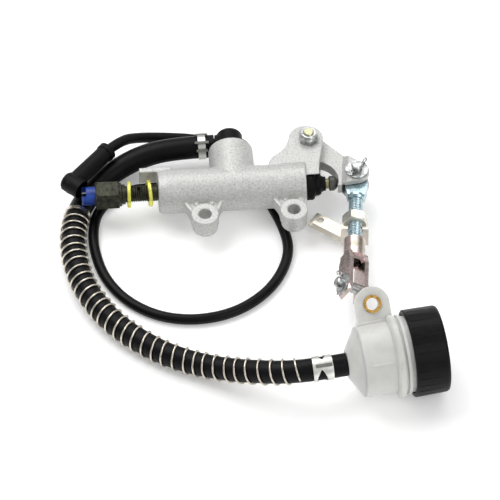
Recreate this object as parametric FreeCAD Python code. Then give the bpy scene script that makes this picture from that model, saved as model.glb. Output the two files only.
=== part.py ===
"""Rear brake master cylinder with bell-crank lever, pull rod and remote fluid reservoir.

Row frame: origin midway between the two mounting holes, on the lugs' rear faces.
+X runs along the cylinder bore towards the push rod, +Z out of the lugs' front faces.
Most parts are drawn in the bore frame (origin on the bore axis, midway between the lugs)
and moved into the row frame when they are written. Millimetres throughout.
"""
import FreeCAD, Part
import math
import os

V = FreeCAD.Vector
X_AXIS = V(1, 0, 0)
Y_AXIS = V(0, 1, 0)
Z_AXIS = V(0, 0, 1)

# ---- driving dimensions -------------------------------------------------------------
BORE_Y = 21.0            # bore axis from the mounting-hole line
BORE_Z = 7.5             # bore axis above the lugs' rear faces
BORE_HEIGHT = 18.5       # bore axis above the surface the assembly lies on
FLOOR_Z = BORE_Z - BORE_HEIGHT

HOLE_SPACING = 50.0
HOLE_R = 3.5
LUG_R = 7.75
LUG_TOP = 4.5            # bore frame
LUG_BOTTOM = -BORE_Z

BARREL_R = 12.4
BARREL_LEFT = -50.0
BARREL_RIGHT = 33.0
COLLAR_R = 12.9
COLLAR_LEFT = 18.3
BORE_R = 6.35
BORE_END = -34.0
BOOT_BORE_R = 9.0
BOOT_BORE_START = 26.0
OUTLET_R = 5.0
OUTLET_END = -39.0
PASSAGE_R = 1.5

INLET_X = -7.5
INLET_R = 12.5
INLET_END = 27.3
SOCKET_R = 8.3
SOCKET_START = 15.0
INLET_PORT_R = 1.2

EAR_TOP = 10.2
EAR_GAP = 4.2            # half the slot that the lever works in
PIVOT = V(36.4, 25.1, 0)
PIVOT_R = 3.0

ARM_HALF = 3.6
KNUCKLE_HALF = 7.2
KNUCKLE_R = 7.0
ROD_PIN = V(62.0, 2.5, 0)
ROD_PIN_R = 3.1
EYE_SLOT_HALF = 3.7
PAD_CENTRE_X = 37.5      # the lever's pushing face is an arc about this point on the bore axis
PAD_ARC_R = 14.0

ROD_LEAN = math.radians(5.8)     # pull rod's lean from -Y towards -X
FORK_ROLL = math.radians(30.0)   # fork's roll about the rod
ROD_R = 4.0
ROD_LENGTH = 53.0
RUN_FIT = 0.05                   # radial clearance of a turning fit

HOSE_R = 6.5
GUARD_R = 7.85
LEAD_R = 3.0

RES_CAP_R = 24.5
RES_AZIMUTH = 8.5                # degrees from +X
RES_CENTRE = V(82.3, -110.0, FLOOR_Z + RES_CAP_R)    # row frame, middle of the cap's open rim
CAP_RIM = -2.4           # the cap's open rim from the neck's mid-plane
CAP_LENGTH = 17.0
RES_BODY_R = 20.0
RES_FACE = -37.0                 # the face the hose butts against
TAB_TILT = 41.0                  # degrees above the horizontal
BUSH_RADIUS = 30.5               # bush centre from the reservoir's axis
BUSH_X = -17.7
BUSH_R = 5.0
BUSH_HOLE_R = 3.5
TAB_HALF = 1.75

# Free routes, row frame: x, y, height of the centre line above the surface.
HOSE_ROUTE = [
    (-16.3, 56.4, 14.8),
    (-37.0, 56.4, 14.8),
    (-58.0, 54.3, 11.9),
    (-79.2, 43.9, 7.2),
    (-93.4, 24.9, 6.55),
    (-99.3, 4.6, 8.95),
    (-99.7, -14.8, 8.1),
    (-95.0, -37.3, 8.0),
    (-83.8, -58.5, 8.0),
    (-71.2, -73.1, 8.0),
    (-54.2, -87.0, 8.0),
    (-36.5, -96.0, 8.2),
    (-19.0, -105.0, 12.5),
    (-3.5, -111.9, 17.9),
    (11.5, -117.2, 22.4),
    (28.5, -118.04, 24.5),
    (45.41, -115.513, 24.5),
]
GUARD_FIRST = 4                  # the guard covers the hose between these two route points
GUARD_LAST = 15
LEAD_ROUTE = [
    (-76.4, 53.6, 19.0),
    (-68.2, 62.8, 17.0),
    (-56.8, 69.6, 10.2),
    (-42.5, 73.3, 4.6),
    (-26.0, 72.5, 3.0),
    (-11.0, 66.5, 3.0),
    (0.5, 55.5, 3.0),
    (7.0, 40.5, 3.0),
    (12.8, 22.5, 3.0),
    (19.0, 5.0, 3.0),
    (21.8, -12.5, 3.0),
    (16.0, -30.5, 3.0),
    (4.5, -45.6, 3.0),
    (-12.8, -56.9, 3.0),
    (-34.0, -60.8, 3.0),
    (-55.0, -56.6, 3.0),
    (-72.5, -43.8, 3.0),
    (-83.5, -26.0, 3.0),
    (-87.8, -6.0, 3.0),
    (-87.6, 9.5, 3.0),
    (-84.2, 22.0, 3.0),
    (-76.0, 31.8, 3.0),
    (-64.0, 37.0, 3.0),
    (-54.5, 38.0, 3.0),
    (-46.5, 38.0, 3.0),
]
MIN_HOSE_BEND = 3.0              # diameters
MIN_LEAD_BEND = 4.0


# ---- helpers ------------------------------------------------------------------------
def cylinder(radius, length, base, axis):
    return Part.makeCylinder(radius, length, base, axis)


def x_cylinder(radius, x0, x1, y=0.0, z=0.0):
    return cylinder(radius, x1 - x0, V(x0, y, z), X_AXIS)


def z_cylinder(radius, z0, z1, x, y):
    return cylinder(radius, z1 - z0, V(x, y, z0), Z_AXIS)


def block(x0, x1, y0, y1, z0, z1):
    return Part.makeBox(x1 - x0, y1 - y0, z1 - z0, V(x0, y0, z0))


def prism(points, z0, z1):
    """Upright prism on a polygon of (x, y) points."""
    corners = [V(x, y, z0) for x, y in points]
    return Part.Face(Part.makePolygon(corners + corners[:1])).extrude(V(0, 0, z1 - z0))


def outline_prism(edges, z0, z1):
    """Upright prism on a closed outline of lines and three-point arcs."""
    shapes = []
    for points in edges:
        ends = [V(x, y, z0) for x, y in points]
        if len(ends) == 2:
            shapes.append(Part.LineSegment(ends[0], ends[1]).toShape())
        else:
            shapes.append(Part.Arc(ends[0], ends[1], ends[2]).toShape())
    return Part.Face(Part.Wire(shapes)).extrude(V(0, 0, z1 - z0))


def turned(points, base=V(0, 0, 0), axis=X_AXIS):
    """Body of revolution: (distance along axis, radius) points about axis through base."""
    side = Z_AXIS if abs(axis.z) < 0.9 else X_AXIS
    radial = side - axis * side.dot(axis)
    radial.normalize()
    corners = [base + axis * a + radial * r for a, r in points]
    return Part.Face(Part.makePolygon(corners + corners[:1])).revolve(base, axis, 360)


def hexagon_bar(across_flats, length, base, axis, turn=0.0):
    """Hexagonal bar with chamfered corners at both ends, as on a nut."""
    bar = Part.makeCylinder(across_flats / math.sqrt(3), length)
    half = across_flats / 2
    for k in range(6):
        cut = Part.makeBox(across_flats, 2 * across_flats, length, V(half, -across_flats, 0))
        cut.rotate(V(0, 0, 0), Z_AXIS, 60 * k + turn)
        bar = bar.cut(cut)
    bar.Placement = FreeCAD.Placement(base, FreeCAD.Rotation(Z_AXIS, axis))
    bevel = half * 0.16
    corner = across_flats / math.sqrt(3)
    keep = turned([(0, 0), (0, half * 0.96), (bevel, corner), (length - bevel, corner),
                   (length, half * 0.96), (length, 0)], base, axis)
    return bar.common(keep)


def union(shapes):
    return shapes[0].multiFuse(shapes[1:]).removeSplitter() if len(shapes) > 1 else shapes[0]


def row_frame(shape):
    moved = shape.copy()
    moved.translate(V(0, BORE_Y, BORE_Z))
    return moved


def unit(vector):
    return vector * (1.0 / vector.Length)


# ---- cylinder casting ---------------------------------------------------------------
def lug_web(centre_x, right_edge):
    """Web between a lug and the barrel, flared where it meets the barrel."""
    y_lug = -BORE_Y
    left, right = centre_x - 15.0, right_edge
    l_in, r_in = centre_x - LUG_R, centre_x + LUG_R
    base_y = -6.0
    left_mid = (l_in - 1.6, y_lug + 7.0)
    right_mid = (r_in + (right - r_in) * 0.22, y_lug + 7.0)
    edges = [
        [(left, base_y), (left, base_y - 2.0)],
        [(left, base_y - 2.0), left_mid, (l_in, y_lug)],
        [(l_in, y_lug), (r_in, y_lug)],
        [(r_in, y_lug), right_mid, (right, base_y - 2.0)],
        [(right, base_y - 2.0), (right, base_y)],
        [(right, base_y), (left, base_y)],
    ]
    return edges


def lug(centre_x, right_edge):
    draft = 0.55
    boss = turned([(0, 0), (0, LUG_R - draft), (LUG_TOP - LUG_BOTTOM, LUG_R), (LUG_TOP - LUG_BOTTOM, 0)],
                  V(centre_x, -BORE_Y, LUG_BOTTOM), Z_AXIS)
    edges = lug_web(centre_x, right_edge)
    plate = outline_prism(edges, -5.6, 2.6)
    # raised ribs: one each side of the lug and a small gusset between them
    rib_top = 3.7
    rib_width = 2.2
    ribs = []
    for side in (-1, 1):
        far = centre_x + side * 13.2 if side < 0 else min(centre_x + 13.2, right_edge - rib_width)
        near = centre_x + side * (LUG_R - 1.2)
        ribs.append(prism([(near, -BORE_Y), (near - side * rib_width, -BORE_Y),
                           (far - side * rib_width, -8.0), (far, -8.0)][::side], 2.0, rib_top))
        ribs.append(prism([(centre_x + side * 3.4, -BORE_Y + 5), (centre_x + side * 1.0, -BORE_Y + 5),
                           (centre_x + side * 6.2, -8.0), (centre_x + side * 8.6, -8.0)][::side],
                          2.0, rib_top))
    return union([boss, plate] + ribs)


def ear_outline():
    """Outline of the pivot ears, seen from above, in the bore frame."""
    return [
        [(12.8, 7.0), (12.8, 8.5)],
        [(12.8, 8.5), (14.9, 12.9), (18.4, 15.6)],
        [(18.4, 15.6), (22.9, 20.6), (25.6, 28.6)],
        [(25.6, 28.6), (30.6, 34.2), (37.6, 34.6)],
        [(37.6, 34.6), (43.4, 30.6), (44.4, 24.0)],
        [(44.4, 24.0), (42.6, 14.0)],
        [(42.6, 14.0), (41.2, 6.5), (40.7, -0.8)],
        [(40.7, -0.8), (32.3, -1.0)],
        [(32.3, -1.0), (20.0, -1.0)],
        [(20.0, -1.0), (12.8, 7.0)],
    ]


def cylinder_body():
    end_chamfer = 4.0
    solids = [
        turned([(BARREL_LEFT, 0), (BARREL_LEFT, BARREL_R - 0.9),
                (BARREL_LEFT + end_chamfer, BARREL_R), (BARREL_RIGHT, BARREL_R), (BARREL_RIGHT, 0)]),
        turned([(COLLAR_LEFT, 0), (COLLAR_LEFT, BARREL_R - 0.5), (COLLAR_LEFT + 1.2, COLLAR_R),
                (BARREL_RIGHT, COLLAR_R), (BARREL_RIGHT, 0)]),
        cylinder(INLET_R, INLET_END, V(INLET_X, 0, 0), Y_AXIS),
        lug(-HOLE_SPACING / 2, -HOLE_SPACING / 2 + 15.0),
        lug(HOLE_SPACING / 2, BARREL_RIGHT - 0.2),
        block(-60.0, -42.0, 10.4, 13.9, -3.6, 6.0),      # locating tab at the outlet end
        block(-49.0, -42.0, 5.0, 13.0, -3.6, 6.0),
        outline_prism(ear_outline(), EAR_GAP, EAR_TOP),
        outline_prism(ear_outline(), -EAR_TOP, -EAR_GAP),
        prism([(12.8, 7.0), (13.6, 11.4), (20.0, 17.4), (23.4, 17.4), (24.6, 11.0), (24.6, 7.0)],
              -EAR_GAP - 0.5, EAR_GAP + 0.5),
    ]
    body = union(solids)
    cuts = [
        x_cylinder(BORE_R, BORE_END, BARREL_RIGHT + 1),
        x_cylinder(BOOT_BORE_R, BOOT_BORE_START, BARREL_RIGHT),
        x_cylinder(9.6, 27.6, 28.9),                       # circlip groove
        x_cylinder(9.4, 30.2, 32.0),                       # dust-boot groove
        x_cylinder(COLLAR_R + 5, BARREL_RIGHT, BARREL_RIGHT + 14)
        .common(x_cylinder(9.2, BARREL_RIGHT, BARREL_RIGHT + 14)),
        x_cylinder(OUTLET_R, BARREL_LEFT - 1, OUTLET_END),
        x_cylinder(PASSAGE_R, OUTLET_END - 1, BORE_END + 1),
        cylinder(SOCKET_R, INLET_END - SOCKET_START + 1, V(INLET_X, SOCKET_START, 0), Y_AXIS),
        cylinder(INLET_PORT_R, SOCKET_START, V(INLET_X - 4, 0, 0), Y_AXIS),
        cylinder(INLET_PORT_R, SOCKET_START, V(INLET_X + 4, 0, 0), Y_AXIS),
        z_cylinder(PIVOT_R + RUN_FIT, -EAR_TOP - 1, EAR_TOP + 1, PIVOT.x, PIVOT.y),
    ]
    chamfer = 0.45
    for side in (-1, 1):
        x = side * HOLE_SPACING / 2
        cuts.append(z_cylinder(HOLE_R, LUG_BOTTOM - 1, LUG_TOP + 1, x, -BORE_Y))
        cuts.append(turned([(0, 0), (0, HOLE_R), (chamfer, HOLE_R + chamfer), (chamfer, 0)],
                           V(x, -BORE_Y, LUG_TOP - chamfer), Z_AXIS))
    for cut in cuts:
        body = body.cut(cut)
    return body


# ---- inlet elbow --------------------------------------------------------------------
ELBOW_Y = 35.4                   # spigot axis, bore frame
ELBOW_Z = -3.7
ELBOW_R = 7.5
SPIGOT_R = 4.0
SPIGOT_END = -33.0


def inlet_elbow():
    plug = turned([(SOCKET_START + 0.6, 0), (SOCKET_START + 0.6, SOCKET_R - 0.6),
                   (SOCKET_START + 1.2, SOCKET_R - RUN_FIT), (20.0, SOCKET_R - RUN_FIT),
                   (20.0, 6.6), (22.0, 6.6), (22.0, SOCKET_R - RUN_FIT),
                   (INLET_END, SOCKET_R - RUN_FIT), (INLET_END, 11.8), (28.3, 11.8),
                   (28.6, 11.5), (28.6, 0)],
                  V(INLET_X, 0, 0), Y_AXIS)
    knee = turned([(28.3, 0), (28.3, ELBOW_R), (40.0, ELBOW_R), (41.4, ELBOW_R - 0.9),
                   (42.0, ELBOW_R - 2.4), (42.0, 0)], V(INLET_X, 0, ELBOW_Z * 0.6), Y_AXIS)
    spigot = turned([(0, 0), (0, SPIGOT_R + 2.2), (8.2, SPIGOT_R + 2.2), (8.2, SPIGOT_R - 0.3),
                     (12.0, SPIGOT_R - 0.3), (12.0, SPIGOT_R), (17.0, SPIGOT_R - 0.7),
                     (17.0, SPIGOT_R), (22.0, SPIGOT_R - 0.7), (22.0, SPIGOT_R),
                     (INLET_X - SPIGOT_END, SPIGOT_R - 0.9), (INLET_X - SPIGOT_END, 0)],
                    V(INLET_X, ELBOW_Y, ELBOW_Z), -X_AXIS)
    body = union([plug, knee, spigot])
    body = body.cut(cylinder(2.4, INLET_X - SPIGOT_END + 1, V(INLET_X, ELBOW_Y, ELBOW_Z), -X_AXIS))
    return body.cut(cylinder(2.4, ELBOW_Y - SOCKET_START, V(INLET_X, SOCKET_START, 0), Y_AXIS))


def elbow_o_ring():
    ring = Part.makeTorus(7.45, 0.8)
    ring.Placement = FreeCAD.Placement(V(INLET_X, 21.0, 0), FreeCAD.Rotation(Z_AXIS, Y_AXIS))
    return ring


# ---- bore internals -----------------------------------------------------------------
PISTON_R = BORE_R - RUN_FIT
PISTON_LEFT = -9.0
PISTON_RIGHT = 24.6


def piston():
    body = turned([(PISTON_LEFT - 5.0, 0), (PISTON_LEFT - 5.0, 3.0), (PISTON_LEFT, 3.0),
                   (PISTON_LEFT, PISTON_R), (PISTON_LEFT + 3.0, PISTON_R),
                   (PISTON_LEFT + 3.0, 4.2), (14.0, 4.2), (14.0, PISTON_R), (16.0, PISTON_R),
                   (16.0, 4.4), (19.5, 4.4), (19.5, PISTON_R), (PISTON_RIGHT, PISTON_R),
                   (PISTON_RIGHT, 0)])
    seat = turned([(18.0, 0), (18.0, 1.2), (20.4, 3.1), (PISTON_RIGHT + 1, 3.1),
                   (PISTON_RIGHT + 1, 0)])
    return body.cut(seat)


def cup(x0, x1, inner_r):
    """Lip seal: a rubber ring with a hollowed pressure side."""
    outer = PISTON_R - 0.02
    lip = 1.2
    return turned([(x0, outer), (x1, outer), (x1, inner_r), (x0, inner_r), (x0, inner_r + lip),
                   (x0 + 1.6, inner_r + lip + 0.3), (x0 + 1.6, outer - lip * 0.8), (x0, outer - 0.5)])


def return_spring():
    """Coil spring between the bore's end and the piston, as separate closed turns."""
    wire_r = 0.55
    coil_r = 4.9
    first, last, turns = BORE_END + wire_r + 0.1, PISTON_LEFT - 4.4 - wire_r, 8
    helix = Part.makeHelix((last - first) / turns, last - first, coil_r)
    section = Part.Wire(Part.makeCircle(wire_r, V(coil_r, 0, 0), Y_AXIS))
    coil = Part.Wire(helix.Edges).makePipeShell([section], True, True)
    coil.Placement = FreeCAD.Placement(V(first, 0, 0), FreeCAD.Rotation(Z_AXIS, X_AXIS))
    return coil


PUSH_ROD_R = 2.9
PUSH_HEAD_START = 46.0
PUSH_HEAD_END = PAD_CENTRE_X + PAD_ARC_R - 0.42


def push_rod():
    return turned([(18.6, 0), (18.9, 0.9), (20.7, 2.7), (PISTON_RIGHT + 0.2, 2.7),
                   (PISTON_RIGHT + 0.2, 4.9), (BOOT_BORE_START - 0.1, 4.9),
                   (BOOT_BORE_START - 0.1, PUSH_ROD_R), (PUSH_HEAD_START, PUSH_ROD_R),
                   (PUSH_HEAD_START, 0)])


def push_rod_head():
    """Rounded button that the lever presses on."""
    radius = 4.2
    return turned([(PUSH_HEAD_START, 0), (PUSH_HEAD_START, radius - 0.5),
                   (PUSH_HEAD_START + 0.5, radius), (PUSH_HEAD_END - 2.2, radius),
                   (PUSH_HEAD_END - 0.9, radius - 1.0), (PUSH_HEAD_END, radius - 2.4),
                   (PUSH_HEAD_END, 0)])


def stop_washer():
    return turned([(26.0, 3.3), (26.0, 8.9), (27.4, 8.9), (27.4, 3.3)])


def circlip():
    ring = turned([(27.65, 6.9), (27.65, 9.4), (28.85, 9.4), (28.85, 6.9)])
    return ring.cut(block(27.0, 29.5, -1.6, 1.6, 0.0, 11.0))


def dust_boot():
    """Stepped rubber boot: a bead in the casting's groove, two convolutions and a neck."""
    outer = [(29.2, 8.7), (30.3, 8.8), (30.4, 9.3), (31.8, 9.3), (31.9, 8.8), (36.6, 8.8),
             (37.6, 8.3), (38.0, 7.0), (38.6, 6.4), (40.6, 6.3), (41.4, 5.8), (42.0, 4.6),
             (43.0, 4.1), (44.2, 4.0)]
    inner = [(44.2, 3.0), (42.6, 3.0), (41.2, 3.6), (40.2, 5.2), (38.0, 5.4), (36.6, 6.6),
             (35.8, 7.6), (29.2, 7.6)]
    return turned(outer + inner)


# ---- outlet: pressure switch in its hollow bolt ---------------------------------------
SWITCH_R = 4.9
HEX_LEFT = -85.2
HEX_RIGHT = -71.8
HEX_FLATS = 15.0
WASHER_R = 7.5
WASHER_HOLE_R = 5.1
WASHER_THICK = 2.0


def switch_bolt():
    neck = turned([(HEX_RIGHT, 0), (HEX_RIGHT, 6.6), (HEX_RIGHT + 1.0, 6.6),
                   (HEX_RIGHT + 1.6, 5.6), (-68.6, 5.6), (-68.6, 4.6), (-50.6, 4.6),
                   (-50.6, 4.0), (-50.0, 4.0), (-49.4, SWITCH_R), (OUTLET_END - 2.0, SWITCH_R),
                   (OUTLET_END - 1.0, SWITCH_R - 1.0), (OUTLET_END - 1.0, 0)])
    thread_pitch = 1.25
    for k in range(10):
        x = -65.4 + k * thread_pitch
        neck = neck.cut(turned([(x, 4.05), (x + thread_pitch * 0.45, 4.75), (x + thread_pitch * 0.45, 5.6),
                                (x - thread_pitch * 0.45, 5.6), (x - thread_pitch * 0.45, 4.75)]))
    hexagon = hexagon_bar(HEX_FLATS, HEX_RIGHT - HEX_LEFT, V(HEX_LEFT, 0, 0), X_AXIS, 12.0)
    body = union([hexagon, neck])
    body = body.cut(x_cylinder(4.2, HEX_LEFT - 1, HEX_LEFT + 4.0))
    body = body.cut(x_cylinder(1.3, HEX_LEFT + 8.0, OUTLET_END))
    return body.cut(cylinder(1.2, 12.0, V(-61.0, 0, -6.0), Z_AXIS))


def switch_insulator():
    """Insulator crimped into the switch's hexagon, notched for the terminal."""
    body = turned([(HEX_LEFT + 4.0, 0), (HEX_LEFT + 4.0, 4.2), (HEX_LEFT, 4.2), (HEX_LEFT, 5.2),
                   (-92.2, 5.2), (-93.0, 4.6), (-93.0, 0)])
    body = body.cut(block(-94.0, -88.2, -1.5, 1.5, -3.4, 3.4))
    return body.cut(block(-94.0, -90.6, -3.4, 3.4, 1.6, 6.0))


def switch_terminals():
    """Two flat terminals standing in the insulator's slot."""
    blades = [block(-93.1, -88.2, -0.4, 0.4, z0, z0 + 2.2) for z0 in (-2.9, 0.7)]
    return Part.makeCompound(blades)


def crush_washer(x, tilt):
    """Sealing washer hanging a little askew on the bolt's shank."""
    ring = turned([(-WASHER_THICK / 2, WASHER_HOLE_R), (-WASHER_THICK / 2, WASHER_R - 0.3),
                   (-WASHER_THICK / 2 + 0.3, WASHER_R), (WASHER_THICK / 2 - 0.3, WASHER_R),
                   (WASHER_THICK / 2, WASHER_R - 0.3), (WASHER_THICK / 2, WASHER_HOLE_R)])
    ring.rotate(V(0, 0, 0), Z_AXIS, tilt)
    ring.translate(V(x, 0, -WASHER_HOLE_R + 4.72))
    return ring


def crush_washers():
    return Part.makeCompound([crush_washer(-66.4, -2.0), crush_washer(-54.9, 5.0)])


# ---- lever pivot --------------------------------------------------------------------
NUT_HEIGHT = 5.6


def pivot_bolt():
    head = hexagon_bar(10.0, 3.4, V(PIVOT.x, PIVOT.y, -EAR_TOP - 3.4), Z_AXIS, 10.0)
    shank = z_cylinder(PIVOT_R, -EAR_TOP, EAR_TOP + NUT_HEIGHT + 0.3, PIVOT.x, PIVOT.y)
    tip = turned([(0, 0), (0, PIVOT_R), (0.6, PIVOT_R - 0.6), (0.6, 0)],
                 V(PIVOT.x, PIVOT.y, EAR_TOP + NUT_HEIGHT + 0.3), Z_AXIS)
    return union([head, shank, tip])


def pivot_nut():
    """Self-locking nut: a hexagon with a round collar."""
    base = V(PIVOT.x, PIVOT.y, EAR_TOP)
    hexagon = hexagon_bar(10.0, 4.0, base, Z_AXIS, 4.0)
    collar = turned([(3.4, 0), (3.4, 4.9), (4.8, 4.7), (NUT_HEIGHT, 4.1), (NUT_HEIGHT, 0)], base, Z_AXIS)
    return union([hexagon, collar]).cut(z_cylinder(PIVOT_R, EAR_TOP - 1, EAR_TOP + 9, PIVOT.x, PIVOT.y))


# ---- lever --------------------------------------------------------------------------
def lever():
    hub_r = 9.0
    start_angle, end_angle = 68.0, -19.0

    def pad(angle, radius=PAD_ARC_R):
        return (PAD_CENTRE_X + radius * math.cos(math.radians(angle)),
                radius * math.sin(math.radians(angle)))
    arm_edges = [
        [pad(start_angle), pad((start_angle + end_angle) / 2), pad(end_angle)],
        [pad(end_angle), (56.4, -4.4)],
        [(56.4, -4.4), (61.0, 9.4)],
        [(61.0, 9.4), (56.2, 16.2)],
        [(56.2, 16.2), (43.2, 30.9)],
        [(43.2, 30.9), (33.0, 17.0)],
        [(33.0, 17.0), pad(start_angle)],
    ]
    arm = outline_prism(arm_edges, -ARM_HALF, ARM_HALF)
    hub = z_cylinder(hub_r, -ARM_HALF, ARM_HALF, PIVOT.x, PIVOT.y)
    # the knuckle is thicker than the arm; a slope leads up to it
    knuckle_edges = [
        [(52.6, -3.6), (55.0, 17.0)],
        [(55.0, 17.0), (58.4, 13.9), (65.2, 8.7)],
        [(65.2, 8.7), (69.0, 2.5), (63.4, -4.4)],
        [(63.4, -4.4), (55.2, -5.4)],
        [(55.2, -5.4), (52.6, -3.6)],
    ]
    knuckle = outline_prism(knuckle_edges, -KNUCKLE_HALF, KNUCKLE_HALF)
    slope = 3.4
    for side in (-1, 1):
        wedge = Part.Face(Part.makePolygon([
            V(50.0, -12, side * ARM_HALF), V(52.9, -12, side * ARM_HALF),
            V(52.9 + slope, -12, side * (KNUCKLE_HALF + 0.01)), V(50.0, -12, side * (KNUCKLE_HALF + 0.01)),
            V(50.0, -12, side * ARM_HALF)])).extrude(V(0, 36, 0))
        wedge.rotate(V(53.0, -3.6, 0), Z_AXIS, -6.6)
        knuckle = knuckle.cut(wedge)
    body = union([arm, hub, knuckle])
    slot_r = 7.6
    slot = z_cylinder(slot_r, -EYE_SLOT_HALF, EYE_SLOT_HALF, ROD_PIN.x, ROD_PIN.y)
    mouth = block(ROD_PIN.x - slot_r - 1.0, ROD_PIN.x + slot_r + 4, ROD_PIN.y - 14, ROD_PIN.y - 2.0,
                  -EYE_SLOT_HALF, EYE_SLOT_HALF)
    body = body.cut(slot).cut(mouth)
    body = body.cut(z_cylinder(PIVOT_R + RUN_FIT, -9, 9, PIVOT.x, PIVOT.y))
    return body.cut(z_cylinder(ROD_PIN_R, -9, 9, ROD_PIN.x, ROD_PIN.y))


PIN_TOP = KNUCKLE_HALF + 5.4
PIN_WASHER_R = 6.35


def split_pin(centre, across, along):
    """Split pin through a cross hole: round eye at one end, two spread legs at the other."""
    wire = 0.45
    half = 5.2
    up = across.cross(along)
    legs = []
    for side in (-1, 1):
        shift = up * (side * wire * 1.05)
        straight = Part.makeCylinder(wire, 2 * half, centre + shift - across * half, across)
        bend = centre + shift + across * half
        tip = across * 1.6 + along * (side * 2.6)
        legs.append(straight)
        legs.append(Part.makeSphere(wire, bend))
        legs.append(Part.makeCylinder(wire, tip.Length, bend, tip))
    eye = Part.makeTorus(1.5, wire)
    eye.Placement = FreeCAD.Placement(centre - across * (half + 1.35), FreeCAD.Rotation(Z_AXIS, along))
    return union(legs + [eye])


PIN_HOLE_R = 1.05


def rod_pin():
    body = turned([(-KNUCKLE_HALF - 2.0, 0), (-KNUCKLE_HALF - 2.0, 4.9), (-KNUCKLE_HALF - 1.5, 5.3),
                   (-KNUCKLE_HALF, 5.3), (-KNUCKLE_HALF, ROD_PIN_R), (PIN_TOP - 0.6, ROD_PIN_R),
                   (PIN_TOP, ROD_PIN_R - 0.6), (PIN_TOP, 0)], ROD_PIN, Z_AXIS)
    hole = cylinder(PIN_HOLE_R, 12, ROD_PIN + V(0, 0, PIN_SPLIT_Z) - PIN_SPLIT_DIR * 6, PIN_SPLIT_DIR)
    return body.cut(hole)


PIN_SPLIT_Z = KNUCKLE_HALF + 3.2
PIN_SPLIT_DIR = unit(V(-0.74, -0.67, 0))


def rod_pin_washer():
    return turned([(KNUCKLE_HALF, ROD_PIN_R), (KNUCKLE_HALF, PIN_WASHER_R),
                   (KNUCKLE_HALF + 1.2, PIN_WASHER_R), (KNUCKLE_HALF + 1.2, ROD_PIN_R)], ROD_PIN, Z_AXIS)


def rod_pin_split_pin():
    return split_pin(ROD_PIN + V(0, 0, PIN_SPLIT_Z), PIN_SPLIT_DIR, unit(Z_AXIS.cross(PIN_SPLIT_DIR)))


# ---- pull rod: drawn along -Y from its eye at the origin, then leaned and placed --------
ROD_PLACE = FreeCAD.Placement(ROD_PIN, FreeCAD.Rotation(Z_AXIS, -math.degrees(ROD_LEAN)))
NUT_START = 28.0
NUT_THICK = 6.5
STAY_START = 36.6
FORK_START = 44.0
FORK_NECK_END = 59.0
FORK_END = 86.0
FORK_PIN_AT = 80.0
FORK_BARREL_R = 6.1
FORK_HALF_WIDTH = 6.0
FORK_GAP_HALF = 3.65
FORK_OUT_HALF = 6.15
CLEVIS_PIN_R = 3.0


def placed(shape, roll=0.0):
    """Move a shape from the rod's own frame to the bore frame, rolled about the rod."""
    moved = shape.copy()
    moved.rotate(V(0, 0, 0), Y_AXIS, math.degrees(roll))
    moved.Placement = ROD_PLACE.multiply(moved.Placement)
    return moved


def pull_rod():
    eye_half = EYE_SLOT_HALF - 0.3
    eye = z_cylinder(6.25, -eye_half, eye_half, 0, 0)
    neck = block(-6.25, 6.25, -9.0, 0, -eye_half, eye_half)
    taper = Part.makeLoft([Part.makePolygon([V(x, -9.0, z) for x, z in
                                             ((-6.25, -eye_half), (6.25, -eye_half), (6.25, eye_half),
                                              (-6.25, eye_half), (-6.25, -eye_half))]),
                           Part.makePolygon([V(x, -14.5, z) for x, z in
                                             ((-4.7, -3.6), (4.7, -3.6), (4.7, 3.6), (-4.7, 3.6),
                                              (-4.7, -3.6))])], True)
    collar = turned([(13.6, 0), (13.6, 4.9), (15.4, 4.9), (16.4, ROD_R), (16.4, 0)], V(0, 0, 0), -Y_AXIS)
    shank = turned([(16.0, 0), (16.0, ROD_R - 0.05), (ROD_LENGTH - 0.8, ROD_R - 0.05),
                    (ROD_LENGTH, ROD_R - 0.8), (ROD_LENGTH, 0)], V(0, 0, 0), -Y_AXIS)
    body = union([eye, neck, taper, collar, shank])
    return placed(body.cut(z_cylinder(ROD_PIN_R + RUN_FIT, -9, 9, 0, 0)))


def lock_nut():
    nut = hexagon_bar(13.0, NUT_THICK, V(0, -NUT_START, 0), -Y_AXIS, 19.0)
    bore = turned([(NUT_START - 1, 0), (NUT_START - 1, ROD_R), (NUT_START + NUT_THICK + 1, ROD_R),
                   (NUT_START + NUT_THICK + 1, 0)], V(0, 0, 0), -Y_AXIS)
    return placed(nut.cut(bore))


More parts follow.
